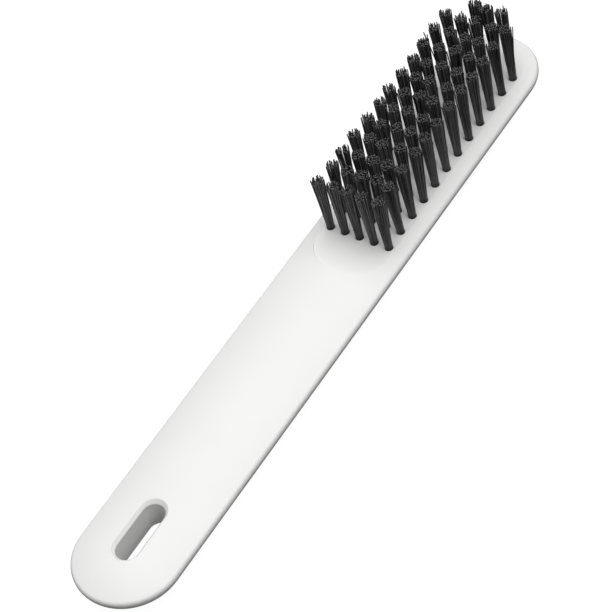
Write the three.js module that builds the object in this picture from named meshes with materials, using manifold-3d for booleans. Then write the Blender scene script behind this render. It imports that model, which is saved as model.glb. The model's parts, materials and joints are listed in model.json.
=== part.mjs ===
// Hand brush for sweeping bees off combs and hive parts: one moulded body that is both handle and brush
// head, with a hanging slot at one end and a field of bristle tufts set in blind holes at the other.
// The body is a round-ended bar with a crowned face, thin rounded edges and a rounded back. A flat pad
// is sunk into the crown at the head, so that all the tuft holes start at one level.
//
// Frame: millimetres. +X runs from the slot end to the head end, +Z points out of the tufted face.
// Origin: the middle of the narrow flat along the back, which is the face that the brush lies on.

import * as THREE from "three";
import { mergeVertices } from "three/addons/utils/BufferGeometryUtils.js";
import Module from "manifold-3d";

// ---- Driving dimensions, mm ----

const length = 218;
const width = 31;
const thickness = 10; // back to the crest of the crown
const edgeDrop = 2.6; // crest of the crown to the top of the edge's rounding
const edgeTopRadius = 1.3; // rounding of the body's thin edge, above its widest level
const edgeUnderRadius = 2.6; // and below that level
const backFlat = 10; // width of the flat along the back

const padDrop = 1.6; // crest of the crown down to the pad
const padFromEnd = 117.9; // slot end of the body to the pad's round start
const padRadius = 12;

const slotFromEnd = 22; // slot end of the body to the middle of the slot
const slotStraight = 12; // straight part of the slot, between its round ends
const slotRadius = 3.3; // half the slot's width
const slotChamfer = 1.1; // 45 degree chamfer, measured down from the crest
const slotBackChamfer = 0.3;

const columns = 5;
const columnPitch = 4.83;
const fullRows = 12;
const endRowColumns = [2, 3, 4]; // the round end only has room for the middle three
const rowPitch = 6.375;
const firstRowFromEnd = 132; // slot end of the body to the first row of tufts

const holeRadius = 1.3;
const holeDepth = 5;
const rootRadius = 1; // tuft inside its hole
const neckRadius = 1.25; // tuft just above the pad
const neckHeight = 1;
const tipRadius = 2.1; // splayed tips
const tuftHeight = 19.8; // pad to tips
const tipRound = 0.8; // height over which the tips' outline rounds off

// The last rows are one solid each, because a brush with every tuft apart has too many separate solids.
const separateRows = 11;

// ---- Derived dimensions ----

const edgeZ = thickness - edgeDrop - edgeTopRadius; // the body's widest level
const padZ = thickness - padDrop;
const tipZ = padZ + tuftHeight;
const holeFloorZ = padZ - holeDepth;
const holeClearance = 0.3; // under the tuft, to the floor of its hole
const overCut = 1; // how far cutters stand out of the body

// ---- Roundness of the facets ----

const arcSegments = 40; // for a full turn of a round end
const crownSegments = 7;
const edgeSegments = 3; // above the edge's widest level, and again below it
const backSegments = 5;
const holeSides = 8;
const tuftSides = 8;

// ---- Materials ----

const plastic = new THREE.MeshStandardMaterial({ color: 0xf1f1ef, roughness: 0.5, metalness: 0 });
const nylon = new THREE.MeshStandardMaterial({ color: 0x141516, roughness: 0.45, metalness: 0 });

// ---- Solids: joins, cuts and back to meshes ----

const wasm = await Module();
wasm.setup();

const unitX = new THREE.Vector3(1, 0, 0);
const unitY = new THREE.Vector3(0, 1, 0);
const unitZ = new THREE.Vector3(0, 0, 1);

function toSolid(geometry) {
  const bare = geometry.clone();
  bare.deleteAttribute("normal");
  bare.deleteAttribute("uv");
  const merged = mergeVertices(bare, 1e-4);
  return new wasm.Manifold(
    new wasm.Mesh({
      numProp: 3,
      vertProperties: merged.attributes.position.array,
      triVerts: new Uint32Array(merged.index.array),
    }),
  );
}

function toGeometry(solid) {
  const mesh = solid.getMesh();
  const geometry = new THREE.BufferGeometry();
  geometry.setAttribute("position", new THREE.BufferAttribute(mesh.vertProperties, 3));
  geometry.setIndex(new THREE.BufferAttribute(mesh.triVerts, 1));
  geometry.computeVertexNormals();
  return geometry;
}

// A shape with two round ends, swept along X: its half profile [radius, z], which starts and ends on the
// axis, is turned round at each end, and its whole cross-section runs straight between them.
function roundEndedSolid(halfProfile, centreX, straight) {
  const turned = new THREE.LatheGeometry(
    halfProfile.map(([radius, z]) => new THREE.Vector2(radius, z)),
    arcSegments,
  );
  turned.rotateX(Math.PI / 2);
  const mirrored = halfProfile.slice(1, -1).reverse().map(([y, z]) => [-y, z]);
  const outline = new THREE.Shape(
    [...halfProfile, ...mirrored].map(([y, z]) => new THREE.Vector2(y, z)),
  );
  const swept = new THREE.ExtrudeGeometry(outline, { depth: straight, bevelEnabled: false });
  swept.applyMatrix4(new THREE.Matrix4().makeBasis(unitY, unitZ, unitX));
  const end = toSolid(turned);
  return toSolid(swept)
    .translate([centreX - straight / 2, 0, 0])
    .add(end.translate([centreX - straight / 2, 0, 0]))
    .add(end.translate([centreX + straight / 2, 0, 0]));
}

// ---- Where the tufts stand ----

function tuftPlace(row, column) {
  return {
    x: firstRowFromEnd - length / 2 + (row - 1) * rowPitch,
    y: ((columns + 1) / 2 - column) * columnPitch,
    column,
  };
}

function tuftRows() {
  const allColumns = Array.from({ length: columns }, (_, i) => i + 1);
  const rows = [];
  for (let row = 1; row <= fullRows; row += 1) {
    rows.push(allColumns.map((column) => tuftPlace(row, column)));
  }
  rows.push(endRowColumns.map((column) => tuftPlace(fullRows + 1, column)));
  return rows;
}

// ---- Handle: the body with its pad, its slot and its tuft holes ----

// Radius of an arc that starts level, `run` and `rise` from the centre of a rounding on the body's edge,
// and ends running smoothly into that rounding.
function radiusOnto(rounding, run, rise) {
  return (run ** 2 + rise ** 2 - rounding ** 2) / (2 * (rise - rounding));
}

// Points [y, z] along an arc, without its last one. Angles are turned from straight down towards +Y.
function profileArc(centreY, centreZ, radius, fromAngle, toAngle, segments) {
  return Array.from({ length: segments }, (_, i) => {
    const angle = fromAngle + ((toAngle - fromAngle) * i) / segments;
    return [centreY + radius * Math.sin(angle), centreZ - radius * Math.cos(angle)];
  });
}

// Half of the cross-section, from the flat along the back, round the edge, to the crest of the crown.
function bodyProfile() {
  const flatY = backFlat / 2;
  const underY = width / 2 - edgeUnderRadius;
  const topY = width / 2 - edgeTopRadius;
  const backRadius = radiusOnto(edgeUnderRadius, underY - flatY, edgeZ);
  const backTilt = Math.asin((underY - flatY) / (backRadius - edgeUnderRadius));
  const crownRadius = radiusOnto(edgeTopRadius, topY, thickness - edgeZ);
  const crownStart = Math.PI - Math.asin(topY / (crownRadius - edgeTopRadius));
  return [
    [0, 0],
    ...profileArc(flatY, backRadius, backRadius, 0, backTilt, backSegments),
    ...profileArc(underY, edgeZ, edgeUnderRadius, backTilt, Math.PI / 2, edgeSegments),
    ...profileArc(topY, edgeZ, edgeTopRadius, Math.PI / 2, crownStart, edgeSegments),
    ...profileArc(0, thickness - crownRadius, crownRadius, crownStart, Math.PI, crownSegments),
    [0, thickness],
  ];
}

function slotCutter() {
  const backFlare = slotRadius + slotBackChamfer;
  const faceFlare = slotRadius + slotChamfer;
  const profile = [
    [0, -overCut],
    [backFlare + overCut, -overCut],
    [slotRadius, slotBackChamfer],
    [slotRadius, thickness - slotChamfer],
    [faceFlare + overCut, thickness + overCut],
    [0, thickness + overCut],
  ];
  return roundEndedSolid(profile, slotFromEnd - length / 2, slotStraight);
}

// Everything above the pad, from its round start to beyond the head end.
function padCutter() {
  const profile = [
    [0, padZ],
    [padRadius, padZ],
    [padRadius, thickness + overCut],
    [0, thickness + overCut],
  ];
  const reach = length + overCut - padFromEnd;
  const centreX = padFromEnd - length / 2 + reach / 2;
  return roundEndedSolid(profile, centreX, reach - 2 * padRadius);
}

function holeCutter() {
  const height = holeDepth + overCut;
  const cylinder = new THREE.CylinderGeometry(holeRadius, holeRadius, height, holeSides);
  cylinder.rotateX(Math.PI / 2);
  cylinder.translate(0, 0, holeFloorZ + height / 2);
  return toSolid(cylinder);
}

function handleGeometry(rows) {
  const hole = holeCutter();
  const body = roundEndedSolid(bodyProfile(), 0, length - width);
  let solid = body.subtract(slotCutter()).subtract(padCutter());
  for (const place of rows.flat()) {
    solid = solid.subtract(hole.translate([place.x, place.y, 0]));
  }
  return toGeometry(solid);
}

// ---- Tuft: a bundle of filaments, as its outer shape ----

function tuftGeometry() {
  const profile = [
    [0, holeFloorZ + holeClearance],
    [rootRadius, holeFloorZ + holeClearance],
    [rootRadius, padZ],
    [neckRadius, padZ + neckHeight],
    [tipRadius, tipZ - tipRound],
    [tipRadius - tipRound, tipZ],
    [0, tipZ],
  ].map(([radius, z]) => new THREE.Vector2(radius, z));
  const tuft = new THREE.LatheGeometry(profile, tuftSides);
  tuft.rotateX(Math.PI / 2);
  return tuft;
}

// A whole row in one solid: its tufts, joined where their splayed tips meet.
function joinedRowGeometry(places) {
  const tuft = toSolid(tuftGeometry());
  const span = (places.length - 1) * columnPitch;
  const band = new THREE.BoxGeometry(tipRadius, span, tipRadius);
  band.translate(places[0].x, 0, tipZ - tipRound - tipRadius / 2);
  let solid = toSolid(band);
  for (const place of places) {
    solid = solid.add(tuft.translate([place.x, place.y, 0]));
  }
  return toGeometry(solid);
}

// ---- Assembly ----

const brush = new THREE.Group();

function addPiece(parent, name, geometry, material) {
  const mesh = new THREE.Mesh(geometry, material);
  mesh.name = name;
  parent.add(mesh);
  return mesh;
}

const rows = tuftRows();
addPiece(brush, "handle", handleGeometry(rows), plastic);

const bristles = new THREE.Group();
brush.add(bristles);
const oneTuft = tuftGeometry();
rows.forEach((places, index) => {
  const rowNumber = String(index + 1).padStart(2, "0");
  if (index >= separateRows) {
    addPiece(bristles, `tuft_row_${rowNumber}`, joinedRowGeometry(places), nylon);
    return;
  }
  for (const place of places) {
    const tuft = addPiece(bristles, `tuft_r${rowNumber}_c${place.column}`, oneTuft, nylon);
    tuft.position.set(place.x, place.y, 0);
  }
});

export default brush;
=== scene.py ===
"""Looks of a moulded plastic bee brush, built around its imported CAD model.

All lengths are in metres. The frame is the CAD frame: +X from the hanging-slot end to the head end,
+Z out of the tufted face, and the origin in the middle of the back.
"""

import json
import math

import bmesh
import bpy
import numpy as np
from mathutils import Matrix, Vector


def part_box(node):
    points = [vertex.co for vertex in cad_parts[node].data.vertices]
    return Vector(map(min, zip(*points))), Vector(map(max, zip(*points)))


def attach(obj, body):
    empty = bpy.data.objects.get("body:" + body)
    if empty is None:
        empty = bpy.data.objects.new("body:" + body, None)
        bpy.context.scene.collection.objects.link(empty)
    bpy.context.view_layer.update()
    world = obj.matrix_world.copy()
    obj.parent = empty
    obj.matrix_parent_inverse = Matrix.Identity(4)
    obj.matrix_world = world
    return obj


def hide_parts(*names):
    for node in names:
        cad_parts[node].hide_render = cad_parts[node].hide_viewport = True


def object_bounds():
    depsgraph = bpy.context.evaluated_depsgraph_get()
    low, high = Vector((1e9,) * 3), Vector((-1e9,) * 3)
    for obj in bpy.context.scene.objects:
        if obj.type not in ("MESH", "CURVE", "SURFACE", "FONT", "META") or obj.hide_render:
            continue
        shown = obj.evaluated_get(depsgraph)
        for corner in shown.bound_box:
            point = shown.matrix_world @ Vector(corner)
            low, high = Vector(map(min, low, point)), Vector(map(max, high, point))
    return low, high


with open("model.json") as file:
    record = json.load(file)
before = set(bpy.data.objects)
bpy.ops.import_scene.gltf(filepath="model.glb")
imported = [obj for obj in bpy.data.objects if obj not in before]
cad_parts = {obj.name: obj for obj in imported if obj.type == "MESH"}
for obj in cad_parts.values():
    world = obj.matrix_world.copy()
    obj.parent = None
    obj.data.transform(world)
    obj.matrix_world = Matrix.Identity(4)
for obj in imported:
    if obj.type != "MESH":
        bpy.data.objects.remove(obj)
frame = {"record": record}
cad_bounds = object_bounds()

MM = 0.001

# ---- Dimensions that the frame gives ----

body_low, body_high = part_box("handle")
HALF_LENGTH = (body_high.x - body_low.x) / 2
HALF_WIDTH = (body_high.y - body_low.y) / 2
HALF_STRAIGHT = HALF_LENGTH - HALF_WIDTH
CREST_Z = body_high.z
TIP_Z = cad_bounds[1].z

first_low, first_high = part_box("tuft_r01_c1")
second_low, second_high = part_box("tuft_r02_c2")
FIRST_X = (first_low.x + first_high.x) / 2
FIRST_Y = (first_low.y + first_high.y) / 2
ROW_PITCH = (second_low.x + second_high.x) / 2 - FIRST_X
COLUMN_PITCH = FIRST_Y - (second_low.y + second_high.y) / 2

slot_box = frame["record"]["physics"]["openings"][0]["box_m"]
SLOT_X = (slot_box[0][0] + slot_box[1][0]) / 2

# ---- Dimensions of the handle's shape ----

EDGE_DROP = 2.6 * MM
EDGE_TOP_RADIUS = 1.3 * MM
EDGE_UNDER_RADIUS = 2.6 * MM
BACK_FLAT = 10 * MM

PAD_Z = CREST_Z - 1.6 * MM
PAD_RADIUS = 12 * MM
PAD_START_X = 117.9 * MM - HALF_LENGTH

SLOT_HALF_STRAIGHT = 6 * MM
SLOT_RADIUS = 3.3 * MM
SLOT_CHAMFER = 1.1 * MM
SLOT_BACK_CHAMFER = 0.3 * MM
SLOT_SOFTENING = 0.25 * MM  # radius where the slot's chamfer meets its wall

COLUMNS = 5
FULL_ROWS = 12
END_ROW_COLUMNS = (2, 3, 4)
SEPARATE_ROWS = 11  # from the next row on, one CAD node holds a whole row

HOLE_RADIUS = 1.27 * MM
HOLE_DEPTH = 5 * MM
HOLE_CHAMFER = 0.05 * MM

# ---- Dimensions of the tufts' detail ----

FILAMENT_RADIUS = 0.18 * MM
FILAMENT_PITCH = 0.31 * MM  # between neighbours, which press into each other a little in their hole
FILAMENT_SIDES = 6

ANCHOR_THICKNESS = 0.26 * MM
ANCHOR_HEIGHT = 1.4 * MM
ANCHOR_BITE = 0.3 * MM  # how far each end of an anchor cuts into the hole's wall
ANCHOR_TURN = math.radians(-45)
ANCHOR_Z = PAD_Z - HOLE_DEPTH + HOLE_RADIUS + 0.05 * MM  # its underside, which the filaments bend round

SPLAY = 1.82  # spread of the tips, as a multiple of the spread at the pad
TUFT_LEAN = 0.3 * MM  # how far the tips of a whole tuft stand off, as a standard deviation
TIP_WANDER = 0.13 * MM  # the same for one tip
STRAY_SHARE = 0.04  # of the tips, which also wander by STRAY_WANDER
STRAY_WANDER = 0.6 * MM
CUT_UNEVENNESS = 0.3 * MM
SWAY = 0.07 * MM  # bow of a filament between the pad and its tip

SHADED_HEIGHT = 9 * MM  # painted shade: the filaments are painted darkest at the pad, and lighter up to here
SHADED_TONE = 0.1  # share of a filament's tone that the painted shade leaves at the pad
SEED = 20

OVER_CUT = 1 * MM  # how far cutters stand out of the handle


# ---- Mesh helpers ----


def add_object(name, vertices, faces, materials):
    mesh = bpy.data.meshes.new(name)
    mesh.from_pydata([tuple(v) for v in vertices], [], faces)
    mesh.validate()
    obj = bpy.data.objects.new(name, mesh)
    bpy.context.scene.collection.objects.link(obj)
    for material in materials:
        mesh.materials.append(material)
    return obj


def shade(obj, sharp_angle):
    """Smooth shading, with a sharp edge wherever two faces meet at more than sharp_angle."""
    work = bmesh.new()
    work.from_mesh(obj.data)
    for face in work.faces:
        face.smooth = True
    for edge in work.edges:
        edge.smooth = len(edge.link_faces) != 2 or edge.calc_face_angle(0) < sharp_angle
    work.to_mesh(obj.data)
    work.free()


def ring_faces(ring_count, ring_size, first=0):
    """Quads between consecutive closed rings of vertices."""
    faces = []
    for ring in range(ring_count - 1):
        low = first + ring * ring_size
        for i in range(ring_size):
            j = (i + 1) % ring_size
            faces.append((low + i, low + j, low + ring_size + j, low + ring_size + i))
    return faces


def capped_rings(rings):
    """Closed solid through rings of equal size, with a flat polygon at each end."""
    size = len(rings[0])
    vertices = [point for ring in rings for point in ring]
    faces = ring_faces(len(rings), size)
    faces.append(tuple(reversed(range(size))))
    last = (len(rings) - 1) * size
    faces.append(tuple(range(last, last + size)))
    return vertices, faces


def join_shapes(shapes):
    vertices, faces = [], []
    for shape_vertices, shape_faces in shapes:
        offset = len(vertices)
        vertices += shape_vertices
        faces += [tuple(offset + i for i in face) for face in shape_faces]
    return vertices, faces


def round_ended_ring(centre_x, half_straight, radius, z, straight_steps=1):
    """Closed level ring, from the right-hand start of the head-end arc round to where it began."""
    arc_steps = 48
    points = []
    for side in (1, -1):
        for i in range(arc_steps + 1):
            a = math.pi * (i / arc_steps - 0.5)
            x = centre_x + side * (half_straight + radius * math.cos(a))
            points.append((x, side * radius * math.sin(a), z))
        for i in range(1, straight_steps):
            x = centre_x + side * half_straight * (1 - 2 * i / straight_steps)
            points.append((x, side * radius, z))
    return points


def profile_arc(centre_y, centre_z, radius, start, end, steps):
    """Points (y, z) along an arc, without its last one. Angles are turned from straight down."""
    angles = [start + (end - start) * i / steps for i in range(steps)]
    return [(centre_y + radius * math.sin(a), centre_z - radius * math.cos(a)) for a in angles]


# ---- Handle ----


def radius_onto(rounding, run, rise):
    """Radius of an arc that starts level and ends running smoothly into a rounding on the edge."""
    return (run**2 + rise**2 - rounding**2) / (2 * (rise - rounding))


def body_profile():
    """Half of the cross-section, from the flat along the back, round the edge, to next to the crest."""
    edge_z = CREST_Z - EDGE_DROP - EDGE_TOP_RADIUS
    flat_y = BACK_FLAT / 2
    under_y = HALF_WIDTH - EDGE_UNDER_RADIUS
    top_y = HALF_WIDTH - EDGE_TOP_RADIUS
    back_radius = radius_onto(EDGE_UNDER_RADIUS, under_y - flat_y, edge_z)
    back_tilt = math.asin((under_y - flat_y) / (back_radius - EDGE_UNDER_RADIUS))
    crown_radius = radius_onto(EDGE_TOP_RADIUS, top_y, CREST_Z - edge_z)
    crown_start = math.pi - math.asin(top_y / (crown_radius - EDGE_TOP_RADIUS))
    outward = math.pi / 2
    back_steps = 14
    under_steps = 10
    top_steps = 14
    crown_steps = 40
    back = profile_arc(flat_y, back_radius, back_radius, 0, back_tilt, back_steps)
    under = profile_arc(under_y, edge_z, EDGE_UNDER_RADIUS, back_tilt, outward, under_steps)
    top = profile_arc(top_y, edge_z, EDGE_TOP_RADIUS, outward, crown_start, top_steps)
    crown = profile_arc(
        0, CREST_Z - crown_radius, crown_radius, crown_start, math.pi, crown_steps
    )
    return back + under + top + crown


def body_shape():
    straight_steps = 40
    rings = [
        round_ended_ring(0, HALF_STRAIGHT, radius, z, straight_steps) for radius, z in body_profile()
    ]
    return capped_rings(rings)


def softened(points, reach):
    """The same outline with each inner corner rounded, starting `reach` before the corner."""
    steps = 6
    corners = [Vector(point) for point in points]
    result = [corners[0]]
    for before, corner, after in zip(corners, corners[1:], corners[2:]):
        start = corner + (before - corner).normalized() * reach
        end = corner + (after - corner).normalized() * reach
        for i in range(steps + 1):
            t = i / steps
            result.append(start * (1 - t) ** 2 + corner * 2 * t * (1 - t) + end * t**2)
    return result + [corners[-1]]


def slot_cutter():
    outline = [
        (SLOT_RADIUS + SLOT_BACK_CHAMFER + OVER_CUT, -OVER_CUT),
        (SLOT_RADIUS, SLOT_BACK_CHAMFER),
        (SLOT_RADIUS, CREST_Z - SLOT_CHAMFER),
        (SLOT_RADIUS + SLOT_CHAMFER + OVER_CUT, CREST_Z + OVER_CUT),
    ]
    rings = [
        round_ended_ring(SLOT_X, SLOT_HALF_STRAIGHT, radius, z)
        for radius, z in softened(outline, SLOT_SOFTENING)
    ]
    return capped_rings(rings)


def pad_cutter():
    """Everything above the pad, from its round start to beyond the head end."""
    half_reach = (HALF_LENGTH + OVER_CUT - PAD_START_X) / 2
    centre_x = PAD_START_X + half_reach
    rings = [
        round_ended_ring(centre_x, half_reach - PAD_RADIUS, PAD_RADIUS, z)
        for z in (PAD_Z, CREST_Z + OVER_CUT)
    ]
    return capped_rings(rings)


def hole_cutter(x, y):
    sides = 28
    profile = [
        (PAD_Z - HOLE_DEPTH, HOLE_RADIUS),
        (PAD_Z - HOLE_CHAMFER, HOLE_RADIUS),
        (PAD_Z + OVER_CUT, HOLE_RADIUS + HOLE_CHAMFER + OVER_CUT),
    ]
    angles = [2 * math.pi * i / sides for i in range(sides)]
    rings = []
    for z, radius in profile:
        rings.append([(x + radius * math.cos(a), y + radius * math.sin(a), z) for a in angles])
    return capped_rings(rings)


def tuft_places():
    places = []
    for row in range(1, FULL_ROWS + 2):
        for column in range(1, COLUMNS + 1) if row <= FULL_ROWS else END_ROW_COLUMNS:
            x = FIRST_X + (row - 1) * ROW_PITCH
            y = FIRST_Y - (column - 1) * COLUMN_PITCH
            places.append((row, column, x, y))
    return places


def cut_away(obj, shape):
    """Replaces the object's mesh with what is left of it outside a closed shape."""
    cutter = add_object("cutter", *shape, [])
    cut = obj.modifiers.new("cut", "BOOLEAN")
    cut.operation = "DIFFERENCE"
    cut.solver = "EXACT"
    cut.object = cutter
    depsgraph = bpy.context.evaluated_depsgraph_get()
    finished = bpy.data.meshes.new_from_object(obj.evaluated_get(depsgraph))
    obj.modifiers.clear()
    obj.data = finished
    bpy.data.objects.remove(cutter)


def build_handle(material):
    handle = add_object("handle_moulding", *body_shape(), [material])
    cut_away(handle, slot_cutter())
    cut_away(handle, pad_cutter())
    cut_away(handle, join_shapes([hole_cutter(x, y) for _, _, x, y in tuft_places()]))
    shade(handle, math.radians(12))
    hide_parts("handle")
    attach(handle, "root")


# ---- Tufts ----


def filament_roots():
    """Places (along, across) of the folded filaments beside the anchor: a hexagonal packing."""
    reach = HOLE_RADIUS - FILAMENT_RADIUS
    roots = []
    across = ANCHOR_THICKNESS / 2 + FILAMENT_RADIUS
    while across <= reach:
        half = math.sqrt(reach * reach - across * across)
        count = int(2 * half / FILAMENT_PITCH) + 1
        for i in range(count):
            roots.append((FILAMENT_PITCH * (i - (count - 1) / 2), across))
        across += FILAMENT_PITCH * math.sin(math.pi / 3)
    return roots


def turned(along, across):
    """Place (x, y) from a tuft's middle, given along and across its anchor."""
    cos_turn, sin_turn = math.cos(ANCHOR_TURN), math.sin(ANCHOR_TURN)
    return np.array((along * cos_turn - across * sin_turn, along * sin_turn + across * cos_turn))


def mouth_place(along, across, side):
    """Where a filament leaves its hole: both sides close up above the anchor and fill the mouth."""
    reach = HOLE_RADIUS - FILAMENT_RADIUS
    closed = (across - ANCHOR_THICKNESS / 2) * reach / (reach - ANCHOR_THICKNESS / 2)
    return turned(along, side * closed)


def filament_path(along, across, tips, tip_heights, sways):
    """Centre line of one folded filament: up from the bend under the anchor to its two tips."""

    def place(u, v, z):
        return np.array((*turned(u, v), z))

    def leg(side, tip, height, bend):
        mouth = np.array((*mouth_place(along, across, side), 0))
        points = [place(along, side * across, ANCHOR_Z)]
        points.append(place(along, side * across, ANCHOR_Z + ANCHOR_HEIGHT))
        steps = 9
        for i in range(steps + 1):
            t = i / steps
            spread = 0.8 * t + 0.2 * t * t  # splays a little more towards the tip
            point = mouth * (1 - spread) + np.array((tip[0], tip[1], 0)) * spread
            point[:2] += bend * math.sin(math.pi * t)
            point[2] = PAD_Z + t * (height - PAD_Z)
            points.append(point)
        return points

    bend_steps = 6
    under = []
    for i in range(1, bend_steps):
        a = math.pi * i / bend_steps
        under.append(place(along, -across * math.cos(a), ANCHOR_Z - across * math.sin(a)))
    first = leg(-1, tips[0], tip_heights[0], sways[0])
    second = leg(1, tips[1], tip_heights[1], sways[1])
    return np.array(first[::-1] + under + second)


def tube(path, radius, sides):
    """Rings of vertices round a path, turned as little as possible from one to the next."""
    tangents = np.gradient(path, axis=0)
    tangents /= np.linalg.norm(tangents, axis=1)[:, None]
    normal = np.cross(tangents[0], (1.0, 0.3, 0.1))
    normal /= np.linalg.norm(normal)
    angles = 2 * math.pi * np.arange(sides) / sides
    rings = []
    for point, tangent in zip(path, tangents):
        normal = normal - tangent * normal.dot(tangent)
        normal /= np.linalg.norm(normal)
        binormal = np.cross(tangent, normal)
        ring = point + radius * (np.outer(np.cos(angles), normal) + np.outer(np.sin(angles), binormal))
        rings.append(ring)
    return rings


def filament_tips(along, across, lean, random):
    """Where the two tips of one folded filament end, their heights, and how each leg is bowed."""
    tips, heights, sways = [], [], []
    for side in (-1, 1):
        wander = random.normal(0, TIP_WANDER, 2)
        if random.random() < STRAY_SHARE:
            wander += random.normal(0, STRAY_WANDER, 2)
        tips.append(mouth_place(along, across, side) * SPLAY + lean + wander)
        heights.append(TIP_Z - abs(random.normal(0, CUT_UNEVENNESS)))
        sways.append(random.normal(0, SWAY, 2))
    return tips, heights, sways


def filament_tones(path, tone):
    """The filament's random tone at each vertex round its path, with painted shade darkest at the pad and
    full tone higher up.
    """
    tones_with_painted_shade = []
    for point in path:
        rise = min(max((point[2] - PAD_Z) / SHADED_HEIGHT, 0), 1)
        tones_with_painted_shade += [tone * (SHADED_TONE + (1 - SHADED_TONE) * rise)] * FILAMENT_SIDES
    return tones_with_painted_shade


def build_tuft(row, column, x, y, roots, random, materials):
    vertices, faces, cut_faces, tones_with_painted_shade = [], [], [], []
    lean = random.normal(0, TUFT_LEAN, 2)
    for along, across in roots:
        path = filament_path(along, across, *filament_tips(along, across, lean, random))
        path = path + (x, y, 0)
        rings = tube(path, FILAMENT_RADIUS, FILAMENT_SIDES)
        first = len(vertices)
        last = first + (len(rings) - 1) * FILAMENT_SIDES
        vertices += [tuple(v) for ring in rings for v in ring]
        faces += ring_faces(len(rings), FILAMENT_SIDES, first)
        cut_faces += [len(faces), len(faces) + 1]
        faces.append(tuple(reversed(range(first, first + FILAMENT_SIDES))))
        faces.append(tuple(range(last, last + FILAMENT_SIDES)))
        tones_with_painted_shade += filament_tones(path, random.random())
    tuft = add_object(f"tuft_{row:02d}_{column}", vertices, faces, materials)
    # the tone attribute holds each filament's random tone with painted shade towards the pad
    tuft.data.attributes.new("tone", "FLOAT", "POINT").data.foreach_set("value", tones_with_painted_shade)
    for index in cut_faces:
        tuft.data.polygons[index].material_index = 1
    shade(tuft, math.radians(60))
    node = f"tuft_r{row:02d}_c{column}" if row <= SEPARATE_ROWS else f"tuft_row_{row:02d}"
    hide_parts(node)
    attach(tuft, "root")


def build_anchor(row, column, x, y, material):
    """Flat wire across the bottom of a tuft hole, over the filaments' bend, with bevelled ends."""
    half_length = HOLE_RADIUS + ANCHOR_BITE
    end_bevel = 0.25 * MM
    outline = [
        (-half_length + end_bevel, ANCHOR_Z),
        (half_length - end_bevel, ANCHOR_Z),
        (half_length, ANCHOR_Z + end_bevel),
        (half_length, ANCHOR_Z + ANCHOR_HEIGHT),
        (-half_length, ANCHOR_Z + ANCHOR_HEIGHT),
        (-half_length, ANCHOR_Z + end_bevel),
    ]
    spin = Matrix.Rotation(ANCHOR_TURN, 4, "Z")
    rings = []
    for side in (-1, 1):
        ring = [spin @ Vector((u, side * ANCHOR_THICKNESS / 2, z)) for u, z in outline]
        rings.append([(p.x + x, p.y + y, p.z) for p in ring])
    anchor = add_object(f"anchor_{row:02d}_{column}", *capped_rings(rings), [material])
    work = bmesh.new()
    work.from_mesh(anchor.data)
    bmesh.ops.recalc_face_normals(work, faces=work.faces)
    bmesh.ops.bevel(work, geom=list(work.edges), offset=0.05 * MM, segments=2, affect="EDGES")
    work.to_mesh(anchor.data)
    work.free()
    shade(anchor, math.radians(35))
    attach(anchor, "root")


# ---- Materials ----


def new_material(name):
    material = bpy.data.materials.new(name)
    material.use_nodes = True
    nodes = material.node_tree.nodes
    return material, nodes, material.node_tree.links, nodes["Principled BSDF"]


def add_noise(nodes, links, scale, detail=2.0):
    where = nodes.new("ShaderNodeTexCoord")
    noise = nodes.new("ShaderNodeTexNoise")
    noise.inputs["Scale"].default_value = scale
    noise.inputs["Detail"].default_value = detail
    links.new(where.outputs["Object"], noise.inputs["Vector"])
    return noise


def add_ramp(nodes, links, source, low, high):
    """Colour ramp from colour low to colour high."""
    ramp = nodes.new("ShaderNodeValToRGB")
    ramp.color_ramp.elements[0].color = (*low, 1)
    ramp.color_ramp.elements[1].color = (*high, 1)
    links.new(source, ramp.inputs["Fac"])
    return ramp


def add_range(nodes, links, source, low, high):
    """Turns noise, which stays mostly between 0.3 and 0.7, into values from low to high."""
    scaled = nodes.new("ShaderNodeMapRange")
    scaled.inputs["From Min"].default_value = 0.3
    scaled.inputs["From Max"].default_value = 0.7
    scaled.inputs["To Min"].default_value = low
    scaled.inputs["To Max"].default_value = high
    links.new(source, scaled.inputs["Value"])
    return scaled


def plastic_material():
    material, nodes, links, shader = new_material("white_plastic")
    cloud = add_noise(nodes, links, 60)
    ramp = add_ramp(nodes, links, cloud.outputs["Fac"], (0.755, 0.755, 0.75), (0.785, 0.785, 0.78))
    links.new(ramp.outputs["Color"], shader.inputs["Base Color"])
    grain = add_noise(nodes, links, 2500, 3)
    rough = add_range(nodes, links, grain.outputs["Fac"], 0.54, 0.64)
    links.new(rough.outputs["Result"], shader.inputs["Roughness"])
    bump = nodes.new("ShaderNodeBump")
    bump.inputs["Strength"].default_value = 0.08
    bump.inputs["Distance"].default_value = 0.02 * MM
    links.new(grain.outputs["Fac"], bump.inputs["Height"])
    links.new(bump.outputs["Normal"], shader.inputs["Normal"])
    shader.inputs["IOR"].default_value = 1.49
    return material


def nylon_material():
    material, nodes, links, shader = new_material("black_nylon")
    # tone holds each filament's random tone and a painted shade that darkens it towards the pad
    tone = nodes.new("ShaderNodeAttribute")
    tone.attribute_name = "tone"
    ramp = add_ramp(nodes, links, tone.outputs["Fac"], (0.012, 0.012, 0.013), (0.16, 0.16, 0.162))
    links.new(ramp.outputs["Color"], shader.inputs["Base Color"])
    streak = add_noise(nodes, links, 900, 2)
    rough = add_range(nodes, links, streak.outputs["Fac"], 0.28, 0.45)
    links.new(rough.outputs["Result"], shader.inputs["Roughness"])
    shader.inputs["IOR"].default_value = 1.53
    return material


def cut_end_material():
    material, nodes, links, shader = new_material("cut_nylon_end")
    fleck = add_noise(nodes, links, 4000, 2)
    ramp = add_ramp(nodes, links, fleck.outputs["Fac"], (0.035, 0.035, 0.035), (0.13, 0.13, 0.13))
    links.new(ramp.outputs["Color"], shader.inputs["Base Color"])
    shader.inputs["Roughness"].default_value = 0.7
    return material


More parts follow.
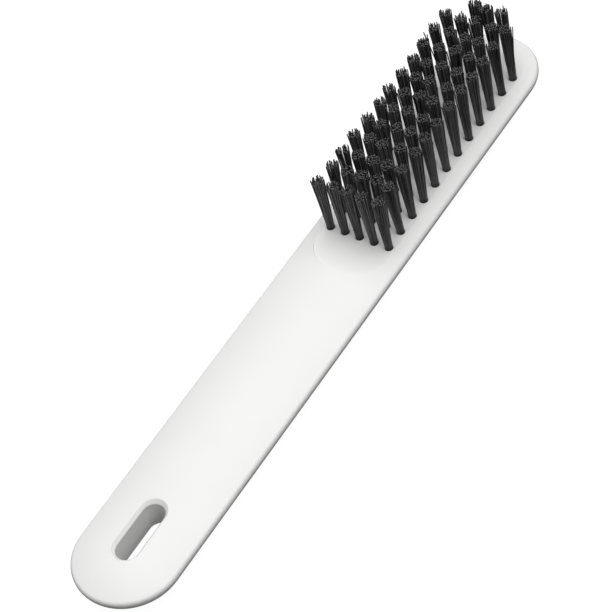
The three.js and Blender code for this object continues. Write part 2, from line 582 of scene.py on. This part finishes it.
def wire_material():
    material, nodes, links, shader = new_material("anchor_wire")
    drawn = add_noise(nodes, links, 3000, 2)
    ramp = add_ramp(nodes, links, drawn.outputs["Fac"], (0.52, 0.51, 0.48), (0.68, 0.67, 0.64))
    links.new(ramp.outputs["Color"], shader.inputs["Base Color"])
    shader.inputs["Metallic"].default_value = 1.0
    rough = add_range(nodes, links, drawn.outputs["Fac"], 0.25, 0.4)
    links.new(rough.outputs["Result"], shader.inputs["Roughness"])
    return material


def floor_material():
    """A white sweep for the camera, with only a trace of the brush's shadow. Other rays see dark grey."""
    material, nodes, links, shader = new_material("pale_floor")
    shader.inputs["Base Color"].default_value = (0.12, 0.12, 0.12, 1)
    shader.inputs["Roughness"].default_value = 0.9
    shader.inputs["Specular IOR Level"].default_value = 0.1
    glow = nodes.new("ShaderNodeEmission")
    glow.inputs["Strength"].default_value = 0.95
    lit = nodes.new("ShaderNodeAddShader")
    links.new(shader.outputs["BSDF"], lit.inputs[0])
    links.new(glow.outputs["Emission"], lit.inputs[1])
    rays = nodes.new("ShaderNodeLightPath")
    chosen = nodes.new("ShaderNodeMixShader")
    links.new(rays.outputs["Is Camera Ray"], chosen.inputs["Fac"])
    links.new(shader.outputs["BSDF"], chosen.inputs[1])
    links.new(lit.outputs["Shader"], chosen.inputs[2])
    links.new(chosen.outputs["Shader"], nodes["Material Output"].inputs["Surface"])
    return material


# ---- Camera ----


def build_camera():
    """Looks down on the brush from beyond its right-hand side, at the slot end."""
    aim = Vector((-2.59 * MM, 2.47 * MM, 5.5 * MM))
    distance = 726.84 * MM
    heading = math.radians(44.537)  # of the view, from +X towards +Y
    descent = math.radians(49.080)
    roll = math.radians(-15.946)
    forward = Vector((
        math.cos(heading) * math.cos(descent),
        math.sin(heading) * math.cos(descent),
        -math.sin(descent),
    ))
    camera = bpy.data.objects.new("camera", bpy.data.cameras.new("camera"))
    camera.data.sensor_width = 36
    camera.data.lens = 155.0
    camera.data.clip_start = 0.01
    camera.data.clip_end = 10
    upright = forward.to_track_quat("-Z", "Y").to_matrix().to_4x4()
    turn = Matrix.Rotation(roll, 4, "Z")
    camera.matrix_world = Matrix.Translation(aim - forward * distance) @ upright @ turn
    bpy.context.scene.collection.objects.link(camera)
    bpy.context.scene.camera = camera


# ---- Light and floor ----


def add_area_light(name, place, aim, size, power):
    light = bpy.data.lights.new(name, "AREA")
    light.shape = "DISK"
    light.size = size
    light.energy = power
    obj = bpy.data.objects.new(name, light)
    obj.location = place
    obj.rotation_euler = (Vector(aim) - Vector(place)).to_track_quat("-Z", "Y").to_euler()
    bpy.context.scene.collection.objects.link(obj)


def build_world():
    """Soft light from all round, fading towards the horizon. The camera sees it as plain white."""
    world = bpy.data.worlds.new("studio")
    bpy.context.scene.world = world
    world.use_nodes = True
    nodes = world.node_tree.nodes
    links = world.node_tree.links
    where = nodes.new("ShaderNodeTexCoord")
    split = nodes.new("ShaderNodeSeparateXYZ")
    fade = nodes.new("ShaderNodeMapRange")
    fade.inputs["To Min"].default_value = 0.03
    fade.inputs["To Max"].default_value = 0.4
    links.new(where.outputs["Generated"], split.inputs["Vector"])
    links.new(split.outputs["Z"], fade.inputs["Value"])
    rays = nodes.new("ShaderNodeLightPath")
    strength = nodes.new("ShaderNodeMath")
    strength.operation = "MAXIMUM"
    links.new(fade.outputs["Result"], strength.inputs[0])
    links.new(rays.outputs["Is Camera Ray"], strength.inputs[1])
    links.new(strength.outputs["Value"], nodes["Background"].inputs["Strength"])
    nodes["Background"].inputs["Color"].default_value = (1, 1, 1, 1)


def build_light():
    build_world()
    add_area_light("overhead", (0.25, 0.02, 1.6), (0, 0, 0), 1.8, 26)
    add_area_light("fill", (-0.2, -1.0, 1.25), (0, 0, 0), 0.8, 4.5)
    bpy.context.scene.view_settings.view_transform = "Standard"


def build_floor():
    size = 3.0
    level = -0.02 * MM  # a hair under the brush, so that no two faces lie in one plane
    corners = [(-size, -size, level), (size, -size, level), (size, size, level), (-size, size, level)]
    floor = add_object("floor", corners, [(0, 1, 2, 3)], [floor_material()])


# ---- The whole scene ----

build_camera()
build_light()
build_floor()

build_handle(plastic_material())

random = np.random.default_rng(SEED)
tuft_roots = filament_roots()
nylon = nylon_material()
cut_end = cut_end_material()
wire = wire_material()
for place in tuft_places():
    build_tuft(*place, tuft_roots, random, [nylon, cut_end])
    build_anchor(*place, wire)
